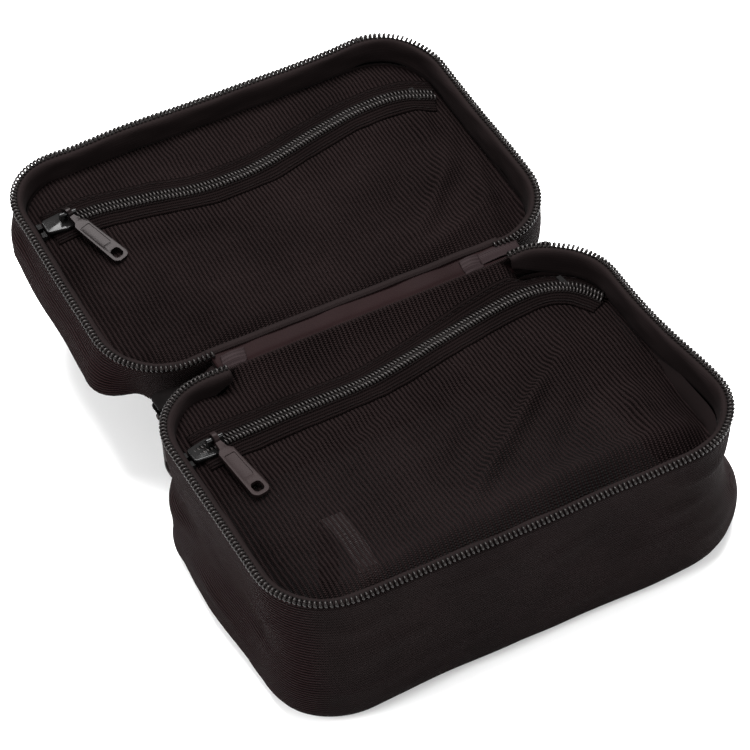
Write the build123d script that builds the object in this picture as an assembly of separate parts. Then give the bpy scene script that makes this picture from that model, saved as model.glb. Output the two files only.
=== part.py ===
from build123d import *
import math
import os

# Cable organizer pouch, lying open like a book. Millimetres, +Z up.
# X runs along the hinge. The deep half ("base") is on the -Y side and stands on its
# flat underside, whose centre is the origin. The shallow half ("lid") is on the +Y side.

# The rim: the centre line of the main zip's coil, a rounded rectangle, the same on both halves.
rim_length = 152.0
rim_width = 102.0
rim_radius = 23.0
base_depth = 49.0
lid_depth = 19.0
bottom_edge_radius = 7.0

# How the halves lie to each other.
hinge_gap = 7.5
lid_drop = 2.0
lid_tilt = 6.1
closed_clearance = 0.4

# Layers of a half, from the outside in. Neighbouring layers stay layer_gap apart.
skin_thickness = 0.8
padding_thickness = 2.4
lining_thickness = 0.6
layer_gap = 0.1
board_thickness = 1.5
board_inset = 6.5

# Main zip: a continuous coil with its tape, open where the hinge is.
coil_width = 1.9
coil_height = 2.4
coil_overhang = 0.4
tape_height = 5.6
tape_thickness = 0.6
hinge_left = -46.0
hinge_right = 50.0
hinge_cut_width = 12.0

# Mesh pocket: two mesh panels, with a zip between them.
mesh_depth = 7.0
mesh_thickness = 0.7
mesh_slot = 4.6
chain_reach = 66.0
strand_inner = 0.9
strand_outer = 3.0
strand_height = 1.8
pocket_tape_outer = 7.4
pocket_tape_thickness = 0.5
stop_length = 1.6

# The pocket slider's start and the direction of its travel, in each half's rim frame.
base_slider_start = (-64.5, 27.5)
base_chain_angle = 4.56
lid_slider_start = (-63.5, 26.0)
lid_chain_angle = 0.0

# Zip slider and its pull.
slider_length = 10.5
slider_width = 7.6
slider_plate = 1.0
slider_channel = 2.2
slider_post_width = 1.2
slider_post_length = 3.0
slider_post_setback = 0.6
slider_tail_share = 0.74
slider_mouth_share = 0.86
slider_shoulder_setback = 4.2
slider_corner_radius = 1.2
slider_top_rounding = 0.45
post_sink = 0.2
crown_sink = 0.3
crown_forward = 3.0
crown_span = 5.4
crown_bar_radius = 0.8
crown_rise = 2.3
crown_foot = 1.2
pull_eye_inner = 1.3
pull_eye_outer = 2.05
pull_eye_width = 1.6
pull_length = 25.0
pull_stem_width = 2.6
pull_stem_length = 3.2
pull_neck_width = 5.0
pull_end_width = 5.9
pull_end_corner = 2.1
pull_thickness = 1.3
pull_hole_width = 3.5
pull_hole_length = 3.7
pull_hole_corner = 1.3
pull_hole_margin = 1.2
pull_eye_sink = 0.5
pull_shoulder_length = 1.2
pull_panel_margin = 1.4
pull_panel_length = 10.0
pull_panel_corner = 0.5
pull_panel_depth = 0.25
pull_panel_setback = 6.0
pull_slope = 7.2
base_pull_yaw = 4.0
lid_pull_yaw = 20.0
main_slider_x = 63.5
main_slider_drop = 9.5

# Hinge strips and the ribbon tabs over the ends of the zip tape.
strip_thickness = 0.8
strip_clearance = 0.3
strip_reach = 6.3
lining_strip_drop = 3.0
outer_strip_drop = 8.2
tab_thickness = 1.0
tab_drop = 1.8
tab_reach = 5.6
tab_corner = 0.8
strip_end_gap = 0.5
left_tab_start = -0.5
left_tab_end = 7.5
right_tab_start = -13.5
right_tab_end = -7.0
right_fold_start = -6.4
right_fold_end = 7.4

# Cutting blocks, larger than any piece.
cutter_size = 400.0
cutter_height = 60.0
rim_cut_reach = 20.0

# Elastic loop that stands on the pocket floor.
loop_width = 7.0
loop_thickness = 1.0
loop_length = 34.0
loop_height = 26.0
loop_centre = (-41.0, -20.0)

# Heights in a half's rim frame, where z = 0 is the coil's centre line.
coil_bottom = -coil_height / 2
wall_top = coil_bottom - layer_gap
mesh_top = -mesh_depth + mesh_thickness / 2
mesh_bottom = mesh_top - mesh_thickness
strand_top = -mesh_depth + strand_height
padding_inset = skin_thickness + layer_gap
lining_inset = padding_inset + padding_thickness + layer_gap
mesh_inset = lining_inset + lining_thickness + layer_gap


def rounded_plate(inset, low, high):
    outline = RectangleRounded(rim_length - 2 * inset, rim_width - 2 * inset, rim_radius - inset)
    return extrude(Pos(0, 0, low) * outline, amount=high - low)


def block(centre, low, high, size_x, size_y):
    return Pos(centre[0], centre[1], (low + high) / 2) * Box(size_x, size_y, high - low)


def pillow(inset, low, high):
    """A rounded plate whose lower edge is rounded, which every layer of a half is cut from."""
    plate = rounded_plate(inset, low, high)
    lower_edges = plate.faces().sort_by(Axis.Z)[0].edges()
    return fillet(lower_edges, bottom_edge_radius - inset)


def skin_band(depth):
    outside = pillow(0, -depth, wall_top)
    inside = pillow(skin_thickness, -depth + skin_thickness, wall_top + 1)
    window = rounded_plate(bottom_edge_radius, -depth - 1, -depth + skin_thickness + 1)
    return outside - inside - window


def flat_panel(depth):
    return rounded_plate(bottom_edge_radius + layer_gap, -depth, -depth + skin_thickness)


def padding_tub(depth):
    floor = -depth + padding_inset
    outside = pillow(padding_inset, floor, wall_top)
    hollow_floor = floor + padding_thickness
    inside = pillow(padding_inset + padding_thickness, hollow_floor, wall_top + 1)
    return outside - inside


def lining_tub(depth, lift):
    floor = -depth + lining_inset + lift
    top = mesh_bottom - layer_gap
    outside = pillow(lining_inset, floor, top)
    inside = pillow(lining_inset + lining_thickness, floor + lining_thickness, top + 1)
    return outside - inside


def stiffener_board(depth):
    low = -depth + lining_inset
    return rounded_plate(board_inset, low, low + board_thickness)


def hinge_cut(hinge_side):
    """The space along the hinge where neither half has a zip."""
    middle = (hinge_left + hinge_right) / 2
    centre = (middle, hinge_side * rim_width / 2)
    length = hinge_right - hinge_left
    return block(centre, -rim_cut_reach, rim_cut_reach, length, hinge_cut_width)


def zip_tape(hinge_side):
    band = rounded_plate(lining_inset, wall_top - tape_height, wall_top)
    band -= rounded_plate(lining_inset + tape_thickness, wall_top - tape_height, wall_top)
    return band - hinge_cut(hinge_side)


def zip_coil(hinge_side):
    inner = coil_width - coil_overhang
    ring = rounded_plate(-coil_overhang, coil_bottom, -coil_bottom)
    ring -= rounded_plate(inner, coil_bottom, -coil_bottom)
    return ring - hinge_cut(hinge_side)


def chain_frame(start, angle):
    """The frame of a pocket zip: origin at the slider's start, x along the chain."""
    return Pos(start[0], start[1], -mesh_depth) * Rot(0, 0, angle)


def half_plane(start, angle, side, distance):
    """A large block on one side of the chain line, from the given distance outwards."""
    centre_y = side * (distance + cutter_size / 2)
    cutter = Box(cutter_size, cutter_size, cutter_height)
    return chain_frame(start, angle) * Pos(0, centre_y, 0) * cutter


def mesh_panel(start, angle, side):
    plate = rounded_plate(mesh_inset, mesh_bottom, mesh_top)
    return plate & half_plane(start, angle, side, mesh_slot)


def chain_strips(start, angle, inner, outer, low, high):
    """Two strips, one on each side of the chain line, over the chain's length."""
    length = 2 * chain_reach - slider_length / 2
    strips = []
    for side in (-1, 1):
        middle_y = side * (inner + outer) / 2
        strip = block((length / 2, middle_y), low, high, length, outer - inner)
        strips.append(chain_frame(start, angle) * strip)
    return Compound(children=strips)


def pocket_tapes(start, angle):
    low = mesh_thickness / 2 + layer_gap
    high = low + pocket_tape_thickness
    return chain_strips(start, angle, strand_outer + layer_gap, pocket_tape_outer, low, high)


def pocket_coils(start, angle):
    half_height = strand_height / 2
    return chain_strips(start, angle, strand_inner, strand_outer, -half_height, half_height)


def pocket_stops(start, angle):
    """The end stops: a pair of staples behind the slider and one across the far end."""
    half_height = strand_height / 2
    back_x = -slider_length / 2 - layer_gap - stop_length / 2
    front_x = 2 * chain_reach - slider_length / 2 + stop_length / 2 + layer_gap
    stops = [block((front_x, 0), -half_height, half_height, stop_length, 2 * strand_outer)]
    for side in (-1, 1):
        centre = (back_x, side * (strand_inner + strand_outer) / 2)
        size_y = strand_outer - strand_inner
        stops.append(block(centre, -half_height, half_height, stop_length, size_y))
    return Compound(children=[chain_frame(start, angle) * stop for stop in stops])


def slider_outline():
    """The plan of a slider's plate: wide shoulders at the mouth, narrower at the tail."""
    half_length = slider_length / 2
    half_width = slider_width / 2
    tail = half_width * slider_tail_share
    mouth = half_width * slider_mouth_share
    shoulder_x = half_length - slider_shoulder_setback
    points = [
        (-half_length, -tail),
        (shoulder_x, -half_width),
        (half_length, -mouth),
        (half_length, mouth),
        (shoulder_x, half_width),
        (-half_length, tail),
    ]
    plan = make_face(Polyline(*points, close=True))
    return fillet(plan.vertices(), slider_corner_radius)


def slider_body(crown_turn):
    """A slider, chain along x, channel centred on z = 0. The crown's bar lies along x or y."""
    plan = slider_outline()
    inner = slider_channel / 2
    outer = inner + slider_plate
    top_plate = extrude(Pos(0, 0, inner) * plan, amount=slider_plate)
    bottom_plate = extrude(Pos(0, 0, -outer) * plan, amount=slider_plate)
    top_plate = fillet(top_plate.faces().sort_by(Axis.Z)[-1].edges(), slider_top_rounding)
    post_x = (slider_length - slider_post_length) / 2 - slider_post_setback
    post_end = outer - post_sink
    post = block((post_x, 0), -post_end, post_end, slider_post_length, slider_post_width)
    bar_z = outer + crown_rise
    bar = Pos(0, 0, bar_z) * Rot(0, 90, 0) * Cylinder(crown_bar_radius, crown_span)
    feet = []
    for side in (-1, 1):
        foot_x = side * (crown_span - crown_foot) / 2
        foot = block((foot_x, 0), outer - crown_sink, bar_z, crown_foot, 2 * crown_bar_radius)
        feet.append(foot)
    crown = Pos(crown_forward, 0, 0) * Rot(0, 0, crown_turn) * (bar + feet[0] + feet[1])
    return top_plate + post + bottom_plate + crown


def pull_tab():
    """A pull with its eye round the x axis at the origin, its blade lying along -y."""
    eye = Rot(0, 90, 0) * Cylinder(pull_eye_outer, pull_eye_width)
    near = pull_eye_outer - pull_eye_sink
    stem_end = near + pull_stem_length
    left = [
        (-pull_eye_width / 2, -near),
        (-pull_stem_width / 2, -stem_end),
        (-pull_neck_width / 2, -stem_end - pull_shoulder_length),
        (-pull_end_width / 2, -pull_length),
    ]
    right = [(-x, y) for x, y in reversed(left)]
    blade = make_face(Polyline(*left, *right, close=True))
    blade = fillet(blade.vertices().sort_by(Axis.Y)[:2], pull_end_corner)
    hole = RectangleRounded(pull_hole_width, pull_hole_length, pull_hole_corner)
    blade -= Pos(0, -pull_length + pull_hole_margin + pull_hole_length / 2) * hole
    blade = extrude(Pos(0, 0, -pull_thickness / 2) * blade, amount=pull_thickness)
    panel_y = -near - pull_panel_setback - pull_panel_length / 2
    panel_width = pull_neck_width - pull_panel_margin
    panel = RectangleRounded(panel_width, pull_panel_length, pull_panel_corner)
    panel = Pos(0, panel_y, pull_thickness / 2 - pull_panel_depth) * panel
    blade -= extrude(panel, amount=pull_thickness)
    bore = Rot(0, 90, 0) * Cylinder(pull_eye_inner, 4 * pull_eye_width)
    return eye + blade - bore


def crown_height():
    return slider_channel / 2 + slider_plate + crown_rise


def pocket_slider(start, angle):
    return chain_frame(start, angle) * slider_body(0)


def pocket_pull(start, angle, yaw):
    placed = Rot(0, 0, yaw) * Rot(pull_slope, 0, 0) * pull_tab()
    return chain_frame(start, angle) * Pos(crown_forward, 0, crown_height()) * placed


def main_slider_frame(side):
    """A main slider sits between the halves past the hinge's end, with its crown below."""
    centre_y = (rim_width + hinge_gap) / 2
    facing = Rot(0, 0, 180) if side < 0 else Rot(0, 0, 0)
    turned_over = Rot(180, 0, 0)
    return Pos(side * main_slider_x, centre_y, -main_slider_drop) * facing * turned_over


def main_slider(side):
    return main_slider_frame(side) * slider_body(90)


def main_pull(side):
    hanging = Rot(0, 0, 90) * Rot(-90, 0, 0) * pull_tab()
    return main_slider_frame(side) * Pos(crown_forward, 0, crown_height()) * hanging


def hinge_strip(drop):
    low = -drop - strip_thickness
    centre_x = (hinge_left + hinge_right) / 2
    centre_y = rim_width / 2 + strip_clearance + strip_reach / 2
    length = hinge_right - hinge_left - 2 * strip_end_gap
    return block((centre_x, centre_y), low, -drop, length, strip_reach)


def ribbon_tab(left_x, right_x):
    low = -tab_drop - tab_thickness
    centre = ((left_x + right_x) / 2, rim_width / 2 + strip_clearance + tab_reach / 2)
    tab = block(centre, low, -tab_drop, right_x - left_x, tab_reach)
    return fillet(tab.edges().filter_by(Axis.Z), tab_corner)


def elastic_loop(depth):
    """An arch of flat elastic whose feet stand on the pocket's lining floor."""
    floor = -depth + lining_inset + board_thickness + 2 * layer_gap + lining_thickness
    outer = Ellipse(loop_length / 2, loop_height)
    inner = Ellipse(loop_length / 2 - loop_thickness, loop_height - loop_thickness)
    upper_half = Pos(0, loop_height) * Rectangle(2 * loop_length, 2 * loop_height)
    arch = (outer - inner) & upper_half
    standing = Plane.YZ * arch
    band = extrude(standing, amount=loop_width / 2, both=True)
    return Pos(loop_centre[0], loop_centre[1], floor + layer_gap) * band


def half_parts(name, depth, hinge_side, start, angle, pull_yaw, lining_lift, panel_name):
    """The pieces that both halves have, in the half's rim frame."""
    return {
        f"{name}_side_band": skin_band(depth),
        f"{name}_{panel_name}": flat_panel(depth),
        f"{name}_padding": padding_tub(depth),
        f"{name}_lining": lining_tub(depth, lining_lift),
        f"{name}_zip_tape": zip_tape(hinge_side),
        f"{name}_zip_coil": zip_coil(hinge_side),
        f"{name}_mesh_rear": mesh_panel(start, angle, 1),
        f"{name}_mesh_front": mesh_panel(start, angle, -1),
        f"{name}_pocket_tapes": pocket_tapes(start, angle),
        f"{name}_pocket_coils": pocket_coils(start, angle),
        f"{name}_pocket_stops": pocket_stops(start, angle),
        f"{name}_pocket_slider": pocket_slider(start, angle),
        f"{name}_pocket_pull": pocket_pull(start, angle, pull_yaw),
    }


def base_parts():
    lining_lift = board_thickness + layer_gap
    parts = half_parts("base", base_depth, 1, base_slider_start, base_chain_angle,
                       base_pull_yaw, lining_lift, "bottom_panel")
    parts["base_stiffener_board"] = stiffener_board(base_depth)
    parts["base_elastic_loop"] = elastic_loop(base_depth)
    parts["hinge_lining_strip"] = hinge_strip(lining_strip_drop)
    parts["hinge_outer_strip"] = hinge_strip(outer_strip_drop)
    left_tab = ribbon_tab(hinge_left + left_tab_start, hinge_left + left_tab_end)
    parts["left_ribbon_tab"] = left_tab
    right_tab = ribbon_tab(hinge_right + right_tab_start, hinge_right + right_tab_end)
    parts["right_ribbon_tab"] = right_tab
    right_fold = ribbon_tab(hinge_right + right_fold_start, hinge_right + right_fold_end)
    parts["right_ribbon_fold"] = right_fold
    for side, word in ((-1, "left"), (1, "right")):
        parts[f"{word}_main_slider"] = main_slider(side)
        parts[f"{word}_main_pull"] = main_pull(side)
    return parts


def lid_parts():
    return half_parts("lid", lid_depth, -1, lid_slider_start, lid_chain_angle,
                      lid_pull_yaw, 0.0, "top_panel")


def lid_place():
    """Puts the lid's rim frame beside the base, its hinge edge first, then its tilt."""
    hinge_y = rim_width / 2 + hinge_gap
    hinge_z = base_depth - lid_drop
    return Pos(0, hinge_y, hinge_z) * Rot(lid_tilt, 0, 0) * Pos(0, rim_width / 2, 0)


def fold_pivot():
    """The point in the YZ plane about which the lid turns shut on the base's rim."""
    open_edge = (rim_width / 2 + hinge_gap, base_depth - lid_drop)
    shut_edge = (rim_width / 2, base_depth + coil_height + closed_clearance)
    run = shut_edge[0] - open_edge[0]
    rise = shut_edge[1] - open_edge[1]
    lever = 0.5 / math.tan(math.radians(180 - lid_tilt) / 2)
    pivot_y = (open_edge[0] + shut_edge[0]) / 2 - rise * lever
    pivot_z = (open_edge[1] + shut_edge[1]) / 2 + run * lever
    return pivot_y, pivot_z


def main():
    os.makedirs("parts", exist_ok=True)
    base_place = Pos(0, 0, base_depth)
    for name, part in base_parts().items():
        export_step(base_place * part, f"parts/{name}.step")
    for name, part in lid_parts().items():
        export_step(lid_place() * part, f"parts/{name}.step")
    print("fold pivot (y, z):", fold_pivot())
    print("fold travel (degrees):", 180 - lid_tilt)
    for name, place, start, angle in (
        ("base", base_place, base_slider_start, base_chain_angle),
        ("lid", lid_place(), lid_slider_start, lid_chain_angle),
    ):
        frame = place * chain_frame(start, angle)
        crown = frame * Pos(crown_forward, 0, crown_height())
        print(name, "slide axis", frame.x_axis.direction, "pull pivot", crown.position)
    for side in (-1, 1):
        frame = base_place * main_slider_frame(side) * Pos(crown_forward, 0, crown_height())
        print("main pull pivot", frame.position)


main()
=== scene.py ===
import math
from functools import partial

import bpy
from mathutils import Matrix, Vector, noise
from mathutils.geometry import interpolate_bezier


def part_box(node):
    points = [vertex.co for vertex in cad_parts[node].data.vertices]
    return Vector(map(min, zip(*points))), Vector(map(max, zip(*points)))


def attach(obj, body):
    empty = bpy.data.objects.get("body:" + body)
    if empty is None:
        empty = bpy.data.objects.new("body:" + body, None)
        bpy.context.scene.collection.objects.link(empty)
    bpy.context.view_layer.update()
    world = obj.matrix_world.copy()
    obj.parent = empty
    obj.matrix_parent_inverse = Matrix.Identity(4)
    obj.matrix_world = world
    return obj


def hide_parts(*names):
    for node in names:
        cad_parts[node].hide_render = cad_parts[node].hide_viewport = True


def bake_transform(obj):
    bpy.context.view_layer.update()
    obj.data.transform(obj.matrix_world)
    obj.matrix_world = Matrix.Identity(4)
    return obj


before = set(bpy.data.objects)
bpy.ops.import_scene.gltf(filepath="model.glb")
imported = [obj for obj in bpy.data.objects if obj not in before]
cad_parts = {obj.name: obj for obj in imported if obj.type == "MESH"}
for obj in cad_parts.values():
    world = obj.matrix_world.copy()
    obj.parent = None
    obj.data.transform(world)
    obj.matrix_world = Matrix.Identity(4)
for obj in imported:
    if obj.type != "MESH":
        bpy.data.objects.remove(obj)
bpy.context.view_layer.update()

# sizes that the whole pouch shares, in millimetres

pouch = {
    "rimLength": 152.0,
    "rimWidth": 102.0,
    "rimRadius": 23.0,
    "hingeLeft": -46.0,
    "hingeRight": 50.0,
    "hingeGap": 7.5,
    "lidDrop": 2.0,
    "lidTilt": 6.1,
    "lidDepth": 19.0,
    "toothPitch": 1.5,
    "coilRise": 1.2,                 # the coil's top over the rim's plane
}
mm = 0.001
halfLength = pouch["rimLength"] / 2
halfWidth = pouch["rimWidth"] / 2
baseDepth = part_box("base_zip_coil")[1].z / mm - pouch["coilRise"]
hingeY = halfWidth + pouch["hingeGap"]

baseMatrix = Matrix.Translation((0, 0, baseDepth * mm))
lidMatrix = (
    Matrix.Translation((0, hingeY * mm, (baseDepth - pouch["lidDrop"]) * mm))
    @ Matrix.Rotation(math.radians(pouch["lidTilt"]), 4, "X")
    @ Matrix.Translation((0, halfWidth * mm, 0))
)

halves = {
    "base": {
        "body": "base",
        "matrix": baseMatrix,
        "hingeSign": 1,
        "depth": baseDepth,
        "edgeRadius": 6.0,
        "meshDepth": 6.6,
        "meshPuff": 1.8,
        "meshSeed": 0.0,
        "crevice": 4.4,
        "creviceAt": 2.6,
        "panel": "base_bottom_panel",
        # outward direction x, y, its spread, share of the depth, its spread, swell
        "wallSwells": [
            (1, 0, 0.75, 0.36, 0.17, -3.4), (1, 0, 0.75, 0.80, 0.23, 5.2),
            (-1, 0.3, 0.5, 0.46, 0.13, -1.6), (-1, -0.25, 0.7, 0.82, 0.26, 1.5),
            (0, -1, 0.8, 0.70, 0.36, 1.3), (-0.7, -0.7, 0.45, 0.66, 0.34, 2.2),
            (0, 1, 0.5, 0.6, 0.3, -0.8),
        ],
        "rimSways": [            # x, y, reach, outwards, upwards
            (76, -28, 16, 1.1, 0.3), (76, 12, 18, -0.9, 0.0), (0, -51, 40, 0.0, -0.4),
            (56, 51, 10, 0.0, 1.0),
        ],
    },
    "lid": {
        "body": "lid",
        "matrix": lidMatrix,
        "hingeSign": -1,
        "depth": pouch["lidDepth"],
        "edgeRadius": 5.0,
        "meshDepth": 6.2,
        "meshPuff": 1.2,
        "meshSeed": 20.0,
        "crevice": 1.2,
        "creviceAt": 2.6,
        "panel": "lid_top_panel",
        "wallSwells": [
            (-1, -0.25, 0.6, 0.76, 0.4, 4.4), (-0.7, -0.7, 0.4, 0.7, 0.4, -2.8),
            (-0.8, -0.6, 0.24, 0.9, 0.4, -3.2),
            (1, 0, 0.8, 0.6, 0.35, 1.2), (0, -1, 0.8, 0.6, 0.4, 0.8),
        ],
        "rimSways": [
            (-66, 44, 14, 1.0, -0.8), (-50, 51, 14, -0.5, -0.8), (62, 46, 15, 1.2, 1.0),
            (76, -20, 26, 0.5, 0.2), (0, 51, 26, -0.3, -0.3),
        ],
    },
}


def clamp(x):
    return min(1.0, max(0.0, x))


def ease(t):
    return t * t * (3 - 2 * t)


def pathAt(points, t):
    # The point at share t of a run of points.
    at = t * (len(points) - 1)
    i = min(int(at), len(points) - 2)
    return Vector(points[i]).lerp(Vector(points[i + 1]), at - i)


def inMetres(x, y, z):
    return Vector((x * mm, y * mm, z * mm))


def upOf(half):
    return (half["matrix"].to_3x3() @ Vector((0, 0, 1))).normalized()


def rimStretches():
    # The rim's path from the hinge's right end, round the front, back to that end.
    radius = pouch["rimRadius"]
    cornerX = halfLength - radius
    cornerY = halfWidth - radius
    quarter = math.pi / 2 * radius
    right = pouch["hingeRight"]
    return [
        ("line", (right, halfWidth), (cornerX, halfWidth), cornerX - right),
        ("arc", (cornerX, cornerY), 90, quarter),
        ("line", (halfLength, cornerY), (halfLength, -cornerY), 2 * cornerY),
        ("arc", (cornerX, -cornerY), 0, quarter),
        ("line", (cornerX, -halfWidth), (-cornerX, -halfWidth), 2 * cornerX),
        ("arc", (-cornerX, -cornerY), -90, quarter),
        ("line", (-halfLength, -cornerY), (-halfLength, cornerY), 2 * cornerY),
        ("arc", (-cornerX, cornerY), -180, quarter),
        ("line", (-cornerX, halfWidth), (right, halfWidth), cornerX + right),
    ]


stretches = rimStretches()
rimTotal = sum(s[3] for s in stretches)
zipTotal = rimTotal - (pouch["hingeRight"] - pouch["hingeLeft"])


def rimPoint(s):
    # Place and outward direction on the rim's path, s millimetres along it.
    s = s % rimTotal
    for kind, first, second, length in stretches:
        if s <= length:
            break
        s -= length
    if kind == "line":
        t = s / length
        place = Vector(first).lerp(Vector(second), t)
        along = (Vector(second) - Vector(first)).normalized()
        return place, Vector((-along.y, along.x))
    angle = math.radians(second) - s / pouch["rimRadius"]
    out = Vector((math.cos(angle), math.sin(angle)))
    return Vector(first) + out * pouch["rimRadius"], out


def ripple(a, b, c, scale):
    return noise.noise(Vector((a * scale, b * scale, c)))


def rimSway(half, s):
    # The soft rim's slow waves: how far it stands out and up from a true rounded rectangle.
    seed = 3.1 if half["body"] == "base" else 9.7
    angle = s / rimTotal * 2 * math.pi
    x, y = math.cos(angle) * 2.4, math.sin(angle) * 2.4
    out = noise.noise(Vector((x, y, seed))) * 0.5
    up = noise.noise(Vector((x, y, seed + 5))) * 0.5
    place = rimPoint(s)[0]
    spot = Vector((place.x, place.y * half["hingeSign"]))
    for atX, atY, reach, swayOut, swayUp in half["rimSways"]:
        share = math.exp(-((spot - Vector((atX, atY))).length / reach) ** 2)
        out += swayOut * share
        up += swayUp * share
    calm = 1.0
    if s > zipTotal:
        t = (s - zipTotal) / (rimTotal - zipTotal)
        calm = abs(2 * t - 1) ** 2
    return out * calm, up * calm


def rimPlace(half, s, inset, z, follow=1.0):
    # A point in a half's frame, in metres, from a place along the rim, an inset and a height.
    place, out = rimPoint(s)
    swayOut, swayUp = rimSway(half, s)
    place = place + out * (swayOut * follow - inset)
    return inMetres(place.x, place.y * half["hingeSign"], z + swayUp * follow)


# helpers for making pieces


def deselectAll():
    bpy.ops.object.select_all(action="DESELECT")


def pick(piece):
    deselectAll()
    piece.select_set(True)
    bpy.context.view_layer.objects.active = piece


def applyModifiers(piece):
    pick(piece)
    for modifier in list(piece.modifiers):
        bpy.ops.object.modifier_apply(modifier=modifier.name)


def tidyNormals(piece, merge=0.000002):
    pick(piece)
    bpy.ops.object.mode_set(mode="EDIT")
    bpy.ops.mesh.select_all(action="SELECT")
    if merge:
        bpy.ops.mesh.remove_doubles(threshold=merge)
    bpy.ops.mesh.normals_make_consistent(inside=False)
    bpy.ops.object.mode_set(mode="OBJECT")


def clothGrid(name, across, along, surface, sizeU, sizeV, matrix=Matrix.Identity(4)):
    # A grid laid onto surface(u, v), with its own UV map in metres of cloth.
    deselectAll()
    bpy.ops.mesh.primitive_grid_add(
        x_subdivisions=across, y_subdivisions=along, size=1, calc_uvs=True)
    piece = bpy.context.object
    piece.name = name
    mesh = piece.data
    mesh.name = name
    flat = [(v.co.x + 0.5, v.co.y + 0.5) for v in mesh.vertices]
    uvs = mesh.uv_layers.active.data
    for loop in mesh.loops:
        u, v = flat[loop.vertex_index]
        uvs[loop.index].uv = (u * sizeU, v * sizeV)
    for vertex, (u, v) in zip(mesh.vertices, flat):
        vertex.co = surface(u, v)
    mesh.transform(matrix)
    tidyNormals(piece)
    pick(piece)
    bpy.ops.object.shade_smooth()
    return piece


def middleOf(half):
    return half["matrix"] @ Vector((0, 0, -half["depth"] / 2 * mm))


def joinPieces(first, second):
    pick(first)
    second.select_set(True)
    bpy.ops.object.join()


def layUvFlat(piece, half):
    # The UV map is the half's own plan, in metres.
    back = half["matrix"].inverted()
    uvs = piece.data.uv_layers.active.data
    for loop in piece.data.loops:
        local = back @ piece.data.vertices[loop.vertex_index].co
        uvs[loop.index].uv = (local.x, local.y)


def turnOutwards(piece, centre):
    # Faces of an open sheet look away from centre.
    mesh = piece.data
    score = sum((p.center - centre).dot(p.normal) * p.area for p in mesh.polygons)
    if score < 0:
        mesh.flip_normals()


def faceUp(piece, up=Vector((0, 0, 1))):
    score = sum(p.normal.dot(up) * p.area for p in piece.data.polygons)
    if score < 0:
        piece.data.flip_normals()


def thicken(piece, thickness, offset=-1.0):
    modifier = piece.modifiers.new("thickness", "SOLIDIFY")
    modifier.thickness = thickness
    modifier.offset = offset
    modifier.use_even_offset = False
    applyModifiers(piece)


def strew(name, pattern, places):
    # One mesh made of a pattern's copies, one at each matrix.
    points = [v.co.copy() for v in pattern.data.vertices]
    faces = [list(p.vertices) for p in pattern.data.polygons]
    allPoints, allFaces = [], []
    for place in places:
        start = len(allPoints)
        allPoints += [place @ p for p in points]
        allFaces += [[start + i for i in f] for f in faces]
    mesh = bpy.data.meshes.new(name)
    mesh.from_pydata(allPoints, [], allFaces)
    mesh.update()
    piece = bpy.data.objects.new(name, mesh)
    bpy.context.scene.collection.objects.link(piece)
    tidyNormals(piece, merge=0)
    pick(piece)
    bpy.ops.object.shade_smooth()
    return piece


def frameAt(place, along, up):
    # A matrix with x along, z as near up as it can be, at place.
    x = along.normalized()
    y = up.cross(x).normalized()
    z = x.cross(y)
    turn = Matrix((x, y, z)).transposed().to_4x4()
    return Matrix.Translation(place) @ turn


def finishPiece(piece, body, slotName, material, stands=()):
    piece.data.materials.clear()
    piece.data.materials.append(material)
    if body:
        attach(piece, body)
    if stands:
        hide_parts(*stands)
    return piece


# materials


def newGroup(name, inputs, outputs):
    group = bpy.data.node_groups.new(name, "ShaderNodeTree")
    for label, kind, value in inputs:
        socket = group.interface.new_socket(name=label, in_out="INPUT", socket_type=kind)
        if value is not None:
            socket.default_value = value
    for label, kind in outputs:
        group.interface.new_socket(name=label, in_out="OUTPUT", socket_type=kind)
    return group, group.nodes.new("NodeGroupInput"), group.nodes.new("NodeGroupOutput")


def mathNode(nodes, links, operation, first, second=None, third=None):
    node = nodes.new("ShaderNodeMath")
    node.operation = operation
    for socket, value in zip(node.inputs, (first, second, third)):
        if value is None:
            continue
        if isinstance(value, (int, float)):
            socket.default_value = value
        else:
            links.new(value, socket)
    return node.outputs[0]


def noiseNode(nodes, links, place, scale, detail=2.0, distortion=0.0):
    node = nodes.new("ShaderNodeTexNoise")
    node.inputs["Scale"].default_value = scale
    node.inputs["Detail"].default_value = detail
    node.inputs["Distortion"].default_value = distortion
    links.new(place, node.inputs["Vector"])
    return node


def mixNode(nodes, links, factor, first, second, blend="MIX"):
    # A mix of two colours, each given as a socket or as red, green and blue.
    node = nodes.new("ShaderNodeMix")
    node.data_type = "RGBA"
    node.blend_type = blend
    links.new(factor, node.inputs["Factor"])
    for label, value in (("A", first), ("B", second)):
        if isinstance(value, tuple):
            node.inputs[label].default_value = (*value, 1)
        else:
            links.new(value, node.inputs[label])
    return node.outputs["Result"]


def addBump(nodes, links, shader, height, strength, distance):
    bump = nodes.new("ShaderNodeBump")
    bump.inputs["Strength"].default_value = strength
    bump.inputs["Distance"].default_value = distance
    links.new(height, bump.inputs["Height"])
    links.new(bump.outputs["Normal"], shader.inputs["Normal"])


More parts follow.
